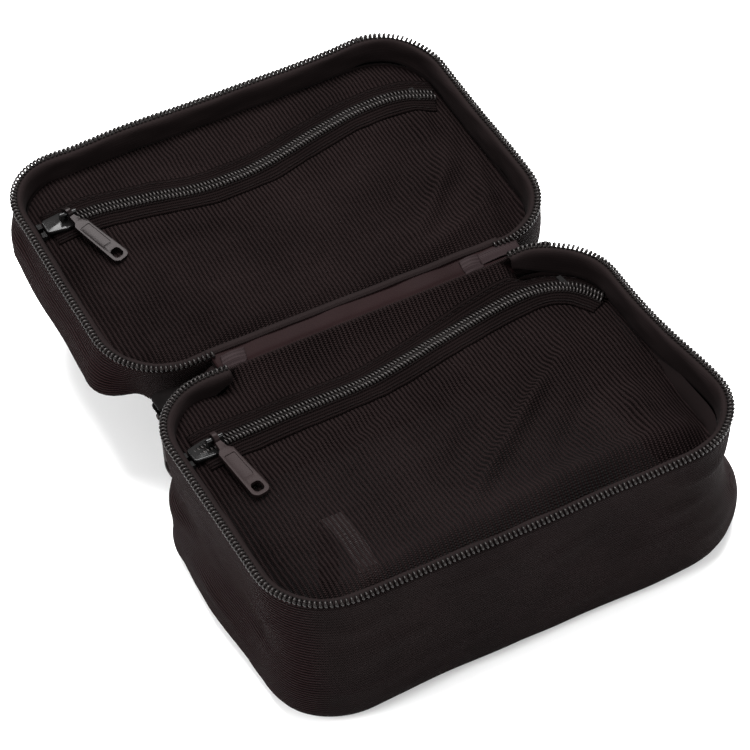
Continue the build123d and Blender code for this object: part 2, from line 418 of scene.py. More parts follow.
def makeWeaveGroup():
    # Crossing threads from cloth UVs: a height, and a mask of the gaps between threads.
    group, start, end = newGroup(
        "clothWeave",
        [
            ("UV", "NodeSocketVector", None),
            ("Warp Pitch", "NodeSocketFloat", 0.0007),
            ("Weft Pitch", "NodeSocketFloat", 0.0009),
            ("Rib", "NodeSocketFloat", 0.5),
        ],
        [("Height", "NodeSocketFloat"), ("Gap", "NodeSocketFloat")],
    )
    nodes, links = group.nodes, group.links
    maths = partial(mathNode, nodes, links)
    wobble = noiseNode(nodes, links, start.outputs["UV"], 260)
    apart = nodes.new("ShaderNodeSeparateXYZ")
    links.new(start.outputs["UV"], apart.inputs[0])
    shift = maths("MULTIPLY", wobble.outputs["Fac"], 0.0004)
    u = maths("ADD", apart.outputs["X"], shift)
    v = maths("ADD", apart.outputs["Y"], shift)
    turn = 2 * math.pi
    u = maths("DIVIDE", u, start.outputs["Warp Pitch"])
    v = maths("DIVIDE", v, start.outputs["Weft Pitch"])
    waveU = maths("SINE", maths("MULTIPLY", u, turn))
    waveV = maths("SINE", maths("MULTIPLY", v, turn))
    cross = maths("MULTIPLY", waveU, waveV)
    ribs = maths("MULTIPLY", waveV, start.outputs["Rib"])
    height = maths("MULTIPLY_ADD", cross, 0.3, 0.5)
    height = maths("MULTIPLY_ADD", ribs, 0.35, height)
    links.new(height, end.inputs["Height"])
    gapU = maths("MULTIPLY_ADD", waveU, 0.5, 0.5)
    gapV = maths("MULTIPLY_ADD", waveV, -0.6, 0.4)
    gap = maths("MULTIPLY", gapU, maths("MAXIMUM", gapV, 0.0))
    links.new(gap, end.inputs["Gap"])
    return group


patchScale = 40.0                # how closely the cloth's slow colour patches lie
scuffScale = 160.0               # the same for scuffs on hard pieces


def makeToneGroup():
    # Slow dye and dust variation between two colours, plus painted highlight on the weave's raised
    # threads and painted shade in the hollows between them.
    group, start, end = newGroup(
        "clothTone",
        [
            ("Dark", "NodeSocketColor", None),
            ("Light", "NodeSocketColor", None),
            ("Weave", "NodeSocketFloat", 0.5),
        ],
        [("Color", "NodeSocketColor"), ("Rough", "NodeSocketFloat")],
    )
    nodes, links = group.nodes, group.links
    maths = partial(mathNode, nodes, links)
    place = nodes.new("ShaderNodeTexCoord")
    slow = noiseNode(nodes, links, place.outputs["Object"], patchScale, detail=6)
    fine = noiseNode(nodes, links, place.outputs["Object"], 2600)
    both = maths("MULTIPLY", slow.outputs["Fac"], 0.6)
    both = maths("MULTIPLY_ADD", fine.outputs["Fac"], 0.25, both)
    # painted thread shade: the weave's height lightens raised threads and darkens the hollows
    # between them
    both = maths("MULTIPLY_ADD", start.outputs["Weave"], 1.1, both)
    amount = maths("SUBTRACT", both, 0.6)
    colour = mixNode(nodes, links, amount, start.outputs["Dark"], start.outputs["Light"])
    links.new(colour, end.inputs["Color"])
    rough = maths("MULTIPLY_ADD", slow.outputs["Fac"], 0.25, 0.6)
    links.new(rough, end.inputs["Rough"])
    return group


weaveGroup = makeWeaveGroup()
toneGroup = makeToneGroup()


def newMaterial(name):
    material = bpy.data.materials.new(name)
    material.use_nodes = True
    nodes, links = material.node_tree.nodes, material.node_tree.links
    return material, nodes, links, nodes["Principled BSDF"]


def useGroup(nodes, group, values):
    node = nodes.new("ShaderNodeGroup")
    node.node_tree = group
    for label, value in values.items():
        node.inputs[label].default_value = value
    return node


def clothMaterial(name, look):
    # Woven cloth whose threads follow the piece's UV map.
    material, nodes, links, shader = newMaterial(name)
    maths = partial(mathNode, nodes, links)
    place = nodes.new("ShaderNodeTexCoord")
    weave = useGroup(nodes, weaveGroup, {
        "Warp Pitch": look["warp"],
        "Weft Pitch": look["weft"],
        "Rib": look["rib"],
    })
    cloth = place.outputs["UV"]
    if look.get("turned"):            # ribs run the other way of the cloth
        turned = nodes.new("ShaderNodeMapping")
        turned.inputs["Rotation"].default_value = (0, 0, math.pi / 2)
        links.new(cloth, turned.inputs["Vector"])
        cloth = turned.outputs["Vector"]
    links.new(cloth, weave.inputs["UV"])
    tone = useGroup(nodes, toneGroup, {
        "Dark": (*look["dark"], 1),
        "Light": (*look["light"], 1),
    })
    # the weave's height also paints highlight on thread tops and shade in the hollows between
    # threads
    links.new(weave.outputs["Height"], tone.inputs["Weave"])
    colour = tone.outputs["Color"]
    if "endPaintedLight" in look:             # the end walls: stronger ribs, and painted light that makes the cloth warmer and lighter in red
        ends = nodes.new("ShaderNodeAttribute")
        ends.attribute_name = "ends"
        rib = maths("MULTIPLY_ADD", ends.outputs["Fac"], look["endRib"], look["rib"])
        links.new(rib, weave.inputs["Rib"])
        # painted light: the end walls' colour is multiplied by a warm tint where their yarns catch
        # the light
        colour = mixNode(nodes, links, ends.outputs["Fac"], colour, look["endPaintedLight"], "MULTIPLY")
    links.new(colour, shader.inputs["Base Color"])
    rough = maths("SUBTRACT", tone.outputs["Rough"], look.get("polish", 0.0))
    links.new(rough, shader.inputs["Roughness"])
    addBump(nodes, links, shader, weave.outputs["Height"], look["bump"], look["relief"])
    shader.inputs["Sheen Weight"].default_value = look["sheen"]
    shader.inputs["Sheen Roughness"].default_value = 0.45
    shader.inputs["Specular IOR Level"].default_value = look["gloss"]
    shader.inputs["Specular Tint"].default_value = (1.0, 0.82, 0.82, 1)
    if "hole" in look:
        solid = maths("MULTIPLY_ADD", weave.outputs["Gap"], -look["hole"], 1.0)
        links.new(solid, shader.inputs["Alpha"])
    return material


def smoothMaterial(name, look):
    # Moulded, enamelled or coated surfaces: fine grain, and scuffs that vary colour and roughness.
    material, nodes, links, shader = newMaterial(name)
    maths = partial(mathNode, nodes, links)
    place = nodes.new("ShaderNodeTexCoord")
    grain = noiseNode(nodes, links, place.outputs["Object"], look["grain"], detail=5)
    scuff = noiseNode(nodes, links, place.outputs["Object"], scuffScale, distortion=1.5)
    colour = mixNode(nodes, links, scuff.outputs["Fac"], look["dark"], look["light"])
    links.new(colour, shader.inputs["Base Color"])
    low, high = look["rough"]
    rough = maths("MULTIPLY_ADD", scuff.outputs["Fac"], high - low, low)
    links.new(rough, shader.inputs["Roughness"])
    addBump(nodes, links, shader, grain.outputs["Fac"], look["bump"], 0.0001)
    shader.inputs["Specular Tint"].default_value = (*look.get("tint", (1.0, 1.0, 1.0)), 1)
    shader.inputs["Specular IOR Level"].default_value = look["gloss"]
    shader.inputs["Coat Weight"].default_value = look.get("coat", 0.0)
    shader.inputs["Coat Roughness"].default_value = 0.08
    return material


looks = {
    "shell": {
        "dark": (0.0010, 0.0007, 0.0007), "light": (0.0122, 0.0084, 0.0084),
        "warp": 0.00062, "weft": 0.00098, "rib": 0.3, "bump": 1.0, "relief": 0.0005,
        # the end walls' tint is painted light, standing for light catching their yarns; it is the
        # same cloth
        "endRib": 2.2, "endPaintedLight": (1.22, 0.80, 0.83), "sheen": 0.003, "gloss": 0.012,
    },
    "mesh": {
        "dark": (0.0006, 0.0004, 0.0004), "light": (0.0108, 0.0071, 0.0071),
        "warp": 0.00055, "weft": 0.00134, "rib": 0.9, "bump": 1.0, "relief": 0.0005,
        "sheen": 0.001, "gloss": 0.009, "polish": 0.12, "hole": 0.8, "turned": True,
    },
    "tape": {
        "dark": (0.0024, 0.0017, 0.0017), "light": (0.0090, 0.0062, 0.0062),
        "warp": 0.0006, "weft": 0.0006, "rib": 0.3, "bump": 0.35, "relief": 0.0002,
        "sheen": 0.004, "gloss": 0.03,
    },
    "pocketTape": {
        "dark": (0.0006, 0.0004, 0.0004), "light": (0.0056, 0.0037, 0.0037),
        "warp": 0.0006, "weft": 0.0011, "rib": 0.8, "bump": 0.9, "relief": 0.0004,
        "sheen": 0.001, "gloss": 0.008,
    },
    "lining": {
        "dark": (0.0025, 0.0017, 0.0017), "light": (0.0070, 0.0047, 0.0047),
        "warp": 0.0004, "weft": 0.0004, "rib": 0.2, "bump": 0.2, "relief": 0.0001,
        "sheen": 0.005, "gloss": 0.04,
    },
    "satin": {
        "dark": (0.0020, 0.0009, 0.0010), "light": (0.0100, 0.0048, 0.0050),
        "warp": 0.0004, "weft": 0.0004, "rib": 0.2, "bump": 0.2, "relief": 0.0001,
        "sheen": 0.003, "gloss": 0.025, "polish": 0.15,
    },
    "ribbon": {
        "dark": (0.0050, 0.0032, 0.0034), "light": (0.0135, 0.0092, 0.0098),
        "warp": 0.0005, "weft": 0.0008, "rib": 0.8, "bump": 0.4, "relief": 0.00015,
        "sheen": 0.003, "gloss": 0.03, "polish": 0.2,
    },
    "elastic": {
        "dark": (0.06, 0.05, 0.05), "light": (0.16, 0.136, 0.136),
        "warp": 0.0012, "weft": 0.0008, "rib": 1.0, "bump": 0.5, "relief": 0.0003,
        "sheen": 0.05, "gloss": 0.2,
    },
}
cloths = {name: clothMaterial(name + "Cloth", look) for name, look in looks.items()}
hardLooks = {
    "coilNylon": {
        "dark": (0.0022, 0.0019, 0.0019), "light": (0.0055, 0.0048, 0.0046), "rough": (0.25, 0.42),
        "grain": 1500.0, "bump": 0.15, "gloss": 0.16, "tint": (1.0, 0.92, 0.90),
    },
    "blackEnamel": {
        "dark": (0.0030, 0.0030, 0.0030), "light": (0.0070, 0.0066, 0.0066), "rough": (0.08, 0.16),
        "grain": 500.0, "bump": 0.015, "gloss": 0.12, "coat": 0.03,
    },
    "mattEnamel": {
        "dark": (0.0010, 0.0008, 0.0008), "light": (0.0030, 0.0024, 0.0024), "rough": (0.45, 0.6),
        "grain": 700.0, "bump": 0.05, "gloss": 0.008,
    },
    # a darker copy of the pull enamel: painted shade for the lid's pull, which is the same part as
    # the base's pull
    "pullPaintedShade": {
        "dark": (0.0016, 0.0012, 0.0012), "light": (0.0046, 0.0034, 0.0034), "rough": (0.16, 0.28),
        "grain": 900.0, "bump": 0.08, "gloss": 0.05, "tint": (1.0, 0.9, 0.9),
    },
    "pullEnamel": {
        "dark": (0.0040, 0.0027, 0.0027), "light": (0.0110, 0.0076, 0.0076), "rough": (0.30, 0.46),
        "grain": 900.0, "bump": 0.25, "gloss": 0.032, "tint": (1.0, 0.84, 0.84),
    },
    "foamGrain": {
        "dark": (0.012, 0.012, 0.012), "light": (0.025, 0.025, 0.025), "rough": (0.7, 0.9),
        "grain": 2200.0, "bump": 0.8, "gloss": 0.02,
    },
    "boardPlastic": {
        "dark": (0.015, 0.015, 0.015), "light": (0.028, 0.028, 0.028), "rough": (0.45, 0.6),
        "grain": 900.0, "bump": 0.15, "gloss": 0.05,
    },
    "seamThread": {
        "dark": (0.0012, 0.0008, 0.0008), "light": (0.0050, 0.0036, 0.0036), "rough": (0.5, 0.7),
        "grain": 3000.0, "bump": 0.4, "gloss": 0.02,
    },
}
hard = {name: smoothMaterial(name, look) for name, look in hardLooks.items()}
print("materials made:", len(bpy.data.materials))

# the outer shell

shell = {
    "top": -1.1,
    "thickness": 0.8,
    "panelInset": 9.0,
    "around": 300,
    "down": 44,
    "underRun": 6.0,                 # cloth that turns in under the floor
    "riseShare": 0.2,                # share of the wall over which its waves set in
    "followShare": 0.6,              # share of the wall that follows the rim's sway
    "waveHeight": 1.3,
    "waveScale": 0.035,
    "foldScale": 0.08,
    "endStart": 64.0,                # where the end walls begin, along x
    "endRun": 10.0,
    "floorDip": 0.25,
}
padding = {"startDrop": 9.5, "thickness": 1.8, "lift": 1.0, "fill": 0.8, "around": 160, "down": 26}
lining = {
    "startDrop": 7.5,
    "inset": 3.6,
    "clearance": 4.0,                # from the floor's outside to the lining
    "corner": 4.0,
    "floorReach": 20.0,
    "floorInset": 22.5,
    "pucker": 0.5,
    "puckerScale": 0.12,
}


def sideBulge(half, s, z):
    # How far the soft wall stands out between the rim and the floor.
    out = rimPoint(s)[1]
    facing = Vector((out.x, out.y * half["hingeSign"]))
    depth = half["depth"]
    t = clamp(-z / depth)
    rise = min(1.0, t / shell["riseShare"])
    amount = 0.0
    for towardX, towardY, spread, level, levelSpread, swell in half["wallSwells"]:
        turn = facing.angle(Vector((towardX, towardY))) / spread
        amount += swell * math.exp(-turn ** 2 - ((t - level) / levelSpread) ** 2)
    seed = 4.0 if half["body"] == "base" else 6.0
    wave = ripple(s, z, seed, shell["waveScale"]) * shell["waveHeight"]
    fold = max(0.0, ripple(s * 0.5, z * 2.0, seed + 1, shell["foldScale"])) * shell["waveHeight"]
    sideOn = max(abs(out.x), max(0.0, -out.y)) ** 2
    return (amount + (wave + fold) * sideOn) * rise


def wallPoint(half, s, v):
    # The skin from the rim down the wall, round the lower edge and in under the floor.
    depth, radius = half["depth"], half["edgeRadius"]
    straight = depth + shell["top"] - radius
    bend = math.pi / 2 * radius
    flat = shell["panelInset"] - radius
    run = v * (straight + bend + flat)
    share = 1.0
    if run <= straight:
        inset, z = 0.0, shell["top"] - run
    elif run <= straight + bend:
        angle = (run - straight) / radius
        inset = radius * (1 - math.cos(angle))
        z = shell["top"] - straight - radius * math.sin(angle)
    else:
        inset = radius + run - straight - bend
        z = -depth
        share = 1 - (run - straight - bend) / flat
    follow = max(0.0, 1 + z / (shell["followShare"] * depth))
    return rimPlace(half, s, inset - sideBulge(half, s, z) * share, z, follow)


def markEnds(piece, half):
    # An attribute that is 1 on the end walls and 0 on the long walls; it strengthens their ribs and
    # lays the painted light tint on them.
    ends = piece.data.attributes.new("ends", "FLOAT", "POINT")
    back = half["matrix"].inverted()
    for vertex, value in zip(piece.data.vertices, ends.data):
        x = abs((back @ vertex.co).x) / mm
        value.value = ease(clamp((x - shell["endStart"]) / shell["endRun"]))


def makePadding(name, half):
    # The foam between skin and lining: it follows the skin, a skin's thickness inside it.
    start = padding["startDrop"] / (half["depth"] + shell["underRun"])      # below the zip tape

    def surface(u, v):
        v = start + (1 - start) * v
        place = wallPoint(half, u * rimTotal, v)
        away = rimPoint(u * rimTotal)[1]
        lift = padding["lift"] * min(1.0, v / 0.5)
        return place + Vector((-away.x, -away.y * half["hingeSign"], lift)) * mm

    foam = clothGrid(name + "Foam", padding["around"], padding["down"], surface,
                     rimTotal * mm, 0.05, half["matrix"])
    turnOutwards(foam, middleOf(half))
    thicken(foam, padding["thickness"] * mm)
    finishPiece(foam, half["body"], "padding_foam", hard["foamGrain"], [name + "_padding"])


def makeShell(name):
    half = halves[name]
    wallRun = half["depth"] + shell["underRun"]

    def surface(u, v):
        return wallPoint(half, u * rimTotal, v)

    wall = clothGrid(name + "SideBand", shell["around"], shell["down"], surface,
                     rimTotal * mm, wallRun * mm, half["matrix"])
    turnOutwards(wall, middleOf(half))
    thicken(wall, shell["thickness"] * mm)
    markEnds(wall, half)
    finishPiece(wall, half["body"], "shell_fabric", cloths["shell"], [name + "_side_band"])
    makePadding(name, half)

    def panelSurface(u, v):
        angle = u * rimTotal
        inner = rimPlace(half, angle, shell["panelInset"] + 0.15, -half["depth"], 0)
        reach = math.sqrt(1 - v)
        dip = ripple(inner.x * reach / mm, inner.y * reach / mm, 2.0, 0.05) * (v > 0)
        lift = abs(dip * shell["floorDip"]) * mm
        return Vector((inner.x * reach, inner.y * reach, inner.z + lift))

    panel = clothGrid(name + "FlatPanel", 120, 24, panelSurface, 0.3, 0.05, half["matrix"])
    layUvFlat(panel, half)
    turnOutwards(panel, half["matrix"] @ Vector((0, 0, 0)))
    thicken(panel, shell["thickness"] * mm)
    finishPiece(panel, half["body"], "shell_fabric", cloths["shell"], [half["panel"]])

    liningDepth = half["depth"] - lining["clearance"]
    straight = liningDepth - lining["startDrop"] - lining["corner"]
    bent = lining["corner"] + lining["floorReach"]

    def liningSurface(u, v):
        run = v * (straight + bent)
        inset, z = lining["inset"], -lining["startDrop"] - run
        if run >= straight:
            t = (run - straight) / bent
            inset += lining["floorReach"] * t
            z = -liningDepth + lining["corner"] * (1 - min(1.0, 2 * t)) ** 2
        # below its upper edge it follows the skin's dents and puckers a little
        dent = max(0.0, -sideBulge(half, u * rimTotal, z))
        crease = max(0.0, ripple(u * rimTotal, run, 8.0, lining["puckerScale"]))
        inset += (dent + crease * lining["pucker"]) * (run > 2)
        return rimPlace(half, u * rimTotal, inset, z, 0)

    inner = clothGrid(name + "LiningWall", 200, 20, liningSurface,
                      rimTotal * mm, 0.06, half["matrix"])
    turnOutwards(inner, middleOf(half))
    inner.data.flip_normals()

    def floorSurface(u, v):
        edge = rimPlace(half, u * rimTotal, lining["floorInset"], -liningDepth, 0)
        reach = 1 - v
        return Vector((edge.x * reach, edge.y * reach, edge.z))

    floor = clothGrid(name + "LiningFloor", 100, 10, floorSurface, 0.3, 0.05, half["matrix"])
    faceUp(floor)
    joinPieces(inner, floor)
    finishPiece(inner, half["body"], "lining", cloths["lining"], [name + "_lining"])


for name in halves:
    makeShell(name)
print("shells and linings made")

# the main zip round the rim

tooth = {
    "reach": 2.5,
    "height": 2.1,
    "wire": 0.40,
    "lean": 0.25,
    "inset": 0.65,
}
rimTape = {
    "lip": [                         # inset and height, from the coil's foot inwards
        (0.55, -2.6), (0.5, -1.4), (0.55, -0.55), (1.5, -0.15), (2.4, 0.05), (3.1, -0.35),
        (3.6, -1.3), (3.85, -2.8), (3.95, -4.6), (4.0, -6.4), (4.05, -8.2),
    ],
    "thickness": 0.45,
    "endRun": 14.0,                  # the tape narrows over this run at the hinge
    "endShare": 0.72,
    "sway": 0.5,
}


def makeTooth(name, reach, height, wire):
    # One loop of the coil: a flattened ring of round wire, standing across the zip.
    deselectAll()
    bpy.ops.mesh.primitive_torus_add(
        major_segments=10, minor_segments=5, major_radius=1.0 * mm, minor_radius=wire * mm)
    ring = bpy.context.object
    ring.name = name
    bpy.ops.object.mode_set(mode="EDIT")
    bpy.ops.mesh.select_all(action="SELECT")
    bpy.ops.transform.rotate(value=math.pi / 2, orient_axis="X", center_override=(0, 0, 0))
    bpy.ops.transform.rotate(value=math.pi / 2, orient_axis="Z", center_override=(0, 0, 0))
    bpy.ops.object.mode_set(mode="OBJECT")
    outer = 1.0 + wire
    for vertex in ring.data.vertices:
        vertex.co.y *= reach / 2 / outer
        vertex.co.z *= height / 2 / outer
        head = max(0.0, vertex.co.y / mm) / (reach / 2)
        vertex.co.x *= 1 + 0.35 * head ** 2
        vertex.co.x += tooth["lean"] * vertex.co.z
    return ring


rimTooth = makeTooth("rimTooth", tooth["reach"], tooth["height"], tooth["wire"])


def makeRimZip(name):
    half = halves[name]
    up = upOf(half)
    count = int(zipTotal / pouch["toothPitch"])
    places = []
    for i in range(count):
        s = (i + 0.5) * zipTotal / count
        here = half["matrix"] @ rimPlace(half, s, tooth["inset"], 0.0)
        ahead = half["matrix"] @ rimPlace(half, s + 0.5, tooth["inset"], 0.0)
        outward = half["matrix"] @ rimPlace(half, s, 0.0, 0.0) - here
        along = ahead - here
        if up.cross(along).dot(outward) < 0:
            along = -along
        places.append(frameAt(here, along, up))
    coil = strew(name + "RimCoil", rimTooth, places)
    finishPiece(coil, half["body"], "zip_coil", hard["coilNylon"], [name + "_zip_coil"])

    def tapeSurface(u, v):
        s = u * zipTotal
        ending = math.sin(min(1.0, min(s, zipTotal - s) / rimTape["endRun"]) * math.pi / 2)
        share = rimTape["endShare"] + (1 - rimTape["endShare"]) * ending
        inset, z = pathAt(rimTape["lip"], v * share)
        soft = ripple(s, z * 3, 12.0, 0.09) * rimTape["sway"] * clamp((inset - 1) / 2)
        return rimPlace(half, s, inset + soft, z)

    tape = clothGrid(name + "ZipTape", 320, 20, tapeSurface, zipTotal * mm, 0.011, half["matrix"])
    faceUp(tape, up)
    thicken(tape, rimTape["thickness"] * mm)
    finishPiece(tape, half["body"], "zip_tape", cloths["tape"], [name + "_zip_tape"])


for name in halves:
    makeRimZip(name)
print("rim zips made")

# mesh pockets

chains = {
    "base": [(-67, 27.4), (-60, 27.9), (-45, 28.6), (-30, 28.8), (-14, 28.6), (2, 30.8), (17, 34.0),
             (33, 37.0), (47, 38.6), (57, 37.6), (65, 33.0), (70.5, 24.0)],
    "lid": [(-67, 26.0), (-58, 26.1), (-47, 25.4), (-33, 22.8), (-18, 19.4), (-4, 18.6), (12, 21.0),
            (28, 24.8), (44, 27.6), (58, 27.4), (71, 22.8)],
}


def splinePoints(points, step):
    # Points every step millimetres along a smooth curve through the given ones.
    vectors = [Vector((x, y, 0)) for x, y in points]
    dense = []
    for i in range(len(vectors) - 1):
        before = vectors[max(i - 1, 0)]
        after = vectors[min(i + 2, len(vectors) - 1)]
        first, last = vectors[i], vectors[i + 1]
        handle = (last - before) / 6
        handleEnd = (after - first) / 6
        dense += interpolate_bezier(first, first + handle, last - handleEnd, last, 24)[:-1]
    dense.append(vectors[-1])
    spaced, carried = [dense[0]], 0.0
    for a, b in zip(dense, dense[1:]):
        length = (b - a).length
        while length > 0 and carried + length >= step:
            a = a.lerp(b, (step - carried) / length)
            spaced.append(a)
            length = (b - a).length
            carried = 0.0
        carried += length
    return spaced


chainLines = {name: splinePoints(points, 0.75) for name, points in chains.items()}


def chainY(name, x):
    # The chain's y where it passes x.
    line = chainLines[name]
    if x <= line[0].x:
        return line[0].y
    for a, b in zip(line, line[1:]):
        if a.x <= x <= b.x and b.x > a.x:
            return a.y + (b.y - a.y) * (x - a.x) / (b.x - a.x)
    return line[-1].y


pocket = {
    "inset": 4.0,                    # where the mesh meets the rim's tape
    "edge": 4.2,
    "edgeDrop": 2.0,
    "riseRun": 5.0,
    "crinkle": (0.9, 0.07),          # height and scale of the cloth's small waves
    "fineCrinkle": (0.45, 0.19),
    "tautRun": 7.0,                  # the zip holds the cloth flat this far out
    "tautShare": 0.7,
    "ridge": 0.5,
    "ridgeRun": 5.0,
    "slot": 2.9,                     # half the gap that the zip fills
    "sewnHeight": -1.0,              # the base's mesh is sewn to the rim's top at the hinge
    "sewnStart": 37.0,
    "sewnRun": 12.5,
    "cornerHeight": -3.4,            # and stands higher in the rear left corner
    "hingeReach": 3.6,
    "hingeDrop": 2.2,                # the lid's mesh dips along the hinge
}
folds = {                        # centre x, y, length along, width across, turn in degrees, height
    "base": [
        (18, -10, 44, 24, 0, 1.6), (28, -35, 40, 4.6, 2, 4.6), (-30, -37, 22, 4.0, 0, 1.6),
        (27, -4, 16, 2.4, 38, 3.8), (5, -20, 19, 2.6, 36, 3.5), (34, -17, 17, 4.5, 38, -3.2),
        (2, -7, 18, 4.5, 38, -2.0), (54, -22, 11, 3.4, 78, 2.6), (62, -8, 14, 3.0, 100, -1.2),
        (43, 6, 13, 3.6, 55, 1.8), (60, 12, 9, 3.6, 75, 0.2), (14, 14, 18, 5.0, 30, -1.4),
        (-43.5, -22, 12, 1.6, 90, 1.0), (-49.0, -22, 11, 1.6, 90, 0.5),
        (-34, 14, 14, 2.6, 22, 1.0), (-22, 7, 15, 2.4, 32, 0.9), (-12, 16, 16, 2.6, 14, -0.8),
        (-52, 2, 12, 4.0, 70, 0.9), (-30, -10, 16, 4.5, 60, 0.8),
        (-6, 42, 12, 2.2, 22, 0.9), (14, 44, 12, 2.0, 16, -0.7), (34, 45, 10, 2.4, 10, 0.8),
        (-32, 40, 10, 2.4, 35, 0.7), (60, 42, 8, 3.0, 140, 0.8),
    ],
    "lid": [
        (0, -4, 46, 26, 0, 1.2), (-56, -14, 16, 5.0, 55, 1.6), (-44, -30, 18, 4.5, 25, 1.5),
        (-64, 4, 14, 4.0, 85, 1.2), (-36, -8, 20, 6.0, 60, 0.9), (-20, -24, 22, 5.0, 40, 0.8),
        (46, -20, 24, 2.8, 42, 2.2), (56, -8, 18, 3.2, 52, 2.3), (64, -20, 14, 3.2, 70, 2.6),
        (50, -32, 18, 3.0, 24, 2.0), (34, -37, 22, 3.4, 8, 1.5), (60, 12, 12, 3.4, 80, 1.8),
        (38, -10, 20, 3.6, 44, -1.6), (-58, -30, 14, 3.0, 70, 1.4), (-30, -38, 24, 3.4, 4, 1.3),
        (66, 4, 10, 2.6, 100, -1.0), (20, -18, 24, 6.0, 36, -0.9), (4, 2, 22, 6.0, 25, 0.7),
        (-20, 36, 16, 3.6, 30, 0.9), (14, 38, 16, 3.6, 24, 0.9), (44, 40, 12, 3.0, 18, 1.2),
        (62, 36, 10, 3.0, 150, 1.3), (-52, 36, 10, 3.4, 50, 0.9),
    ],
}


def foldHeight(name, x, y):
    total = 0.0
    for cx, cy, long, wide, turn, height in folds[name]:
        a = math.radians(turn)
        dx, dy = x - cx, y - cy
        along = (dx * math.cos(a) + dy * math.sin(a)) / long
        across = (-dx * math.sin(a) + dy * math.cos(a)) / wide
        total += height * math.exp(-along * along - across * across)
    return total


def edgeDistance(x, y, inset):
    # Distance inside a rounded rectangle that lies inset millimetres within the rim.
    radius = pouch["rimRadius"] - inset
    qx = abs(x) - (halfLength - inset - radius)
    qy = abs(y) - (halfWidth - inset - radius)
    outside = math.hypot(max(qx, 0), max(qy, 0)) + min(max(qx, qy), 0) - radius
    return -outside


def hingeShare(x):
    # 1 along the hinge, fading to 0 where the main zip begins.
    inside = min(x - pouch["hingeLeft"], pouch["hingeRight"] - x)
    return ease(clamp((inside + 4.5) / 8))


def meshHeight(name, x, y):
    # Height of the mesh cloth over the rim's plane, in millimetres.
    half = halves[name]
    inside = max(0.0, edgeDistance(x, y, pocket["edge"]))
    rise = 1 - math.exp(-inside / pocket["riseRun"])
    seed = half["meshSeed"]
    crinkle, scale = pocket["crinkle"]
    fineCrinkle, fineScale = pocket["fineCrinkle"]
    waves = ripple(x, y, seed + 1, scale) * crinkle
    waves += ripple(x, y, seed + 2, fineScale) * fineCrinkle
    gap = abs(y - chainY(name, x))
    taut = 1 - pocket["tautShare"] * math.exp(-(gap / pocket["tautRun"]) ** 2)
    ridge = pocket["ridge"] * math.exp(-(gap / pocket["ridgeRun"]) ** 2)
    lift = (foldHeight(name, x, y) + waves) * taut
    height = -half["meshDepth"] - pocket["edgeDrop"] + rise * (half["meshPuff"] + lift + ridge)
    dip = inside / half["creviceAt"] * math.exp(1 - inside / half["creviceAt"])
    height -= half["crevice"] * dip * clamp((10 - y) / 30)
    if name == "base":
        share = hingeShare(x) * clamp((y - pocket["sewnStart"]) / pocket["sewnRun"]) ** 1.5
        height = height * (1 - share) + pocket["sewnHeight"] * share
        corner = math.exp(-((x + 62) / 15) ** 2 - ((y - 42) / 12) ** 2)
        height += (pocket["cornerHeight"] - height) * corner * 0.85 * (1 - share)
    else:
        height -= pocket["hingeDrop"] * hingeShare(x) * max(0.0, 1 - (y + 47) / 9) ** 2
    return height


def meshPlace(name, x, y, over=0.0):
    half = halves[name]
    return half["matrix"] @ inMetres(x, y, meshHeight(name, x, y) + over)


def meshPanelPiece(name, side):
    # The mesh on one side of the pocket zip, out to the rim's tape all round.
    inset = pocket["inset"]
    first, last = chainLines[name][0].x, chainLines[name][-1].x

    def limits(x):
        reach = halfWidth - inset
        corner = pouch["rimRadius"] - inset
        over = abs(x) - (halfLength - inset - corner)
        if over > 0:
            reach -= corner - math.sqrt(max(0.0, corner ** 2 - over ** 2))
        return reach

    def surface(u, v):
        x = (2 * u - 1) * (halfLength - inset - 0.02)
        reach = limits(x)
        if name == "base" and side > 0:
            reach += hingeShare(x) * pocket["hingeReach"]
        openShare = clamp(min(x - first, last - x) / 2)
        near = chainY(name, x) + side * pocket["slot"] * openShare
        near = max(-reach, min(reach, near))
        y = near + (side * reach - near) * v
        return inMetres(x, y, meshHeight(name, x, y))

    long = 170 if side < 0 else 60
    label = "Rear" if side > 0 else "Front"
    panel = clothGrid(f"{name}Mesh{label}", 260, long, surface, 1, 1, halves[name]["matrix"])
    layUvFlat(panel, halves[name])
    faceUp(panel, upOf(halves[name]))
    node = f"{name}_mesh_{label.lower()}"
    finishPiece(panel, halves[name]["body"], "mesh", cloths["mesh"], [node])


link = {
    "pitch": 1.2,
    "reach": 2.8,
    "height": 1.7,
    "wire": 0.38,
    "apart": 1.05,                   # from the chain's middle to each side's coil
    "over": 0.9,
    "slant": 16.0,
}
pocketTape = {
    "start": 1.2, "width": 6.2, "over": 0.75, "fall": 0.42, "thickness": 0.35, "edge": 4.2,
}
linkTooth = makeTooth("linkTooth", link["reach"], link["height"], link["wire"])


def chainFrames(name, step, offset, side, over):
    # Matrices along one side of the pocket chain, x along it and y towards the middle.
    line = splinePoints(chains[name], step)
    half = halves[name]
    up = upOf(half)
    frames = []
    for i in range(len(line) - 1):
        along2d = (line[i + 1] - line[i]).normalized()
        across = Vector((-along2d.y, along2d.x, 0)) * side
        spot = line[i] + across * offset
        here = meshPlace(name, line[i].x, line[i].y, over)
        flat = half["matrix"] @ inMetres(spot.x, spot.y, 0)
        centre = half["matrix"] @ inMetres(line[i].x, line[i].y, 0)
        along = (half["matrix"].to_3x3() @ along2d) * (-side)
        frames.append(frameAt(here + flat - centre, along, up))
    return frames


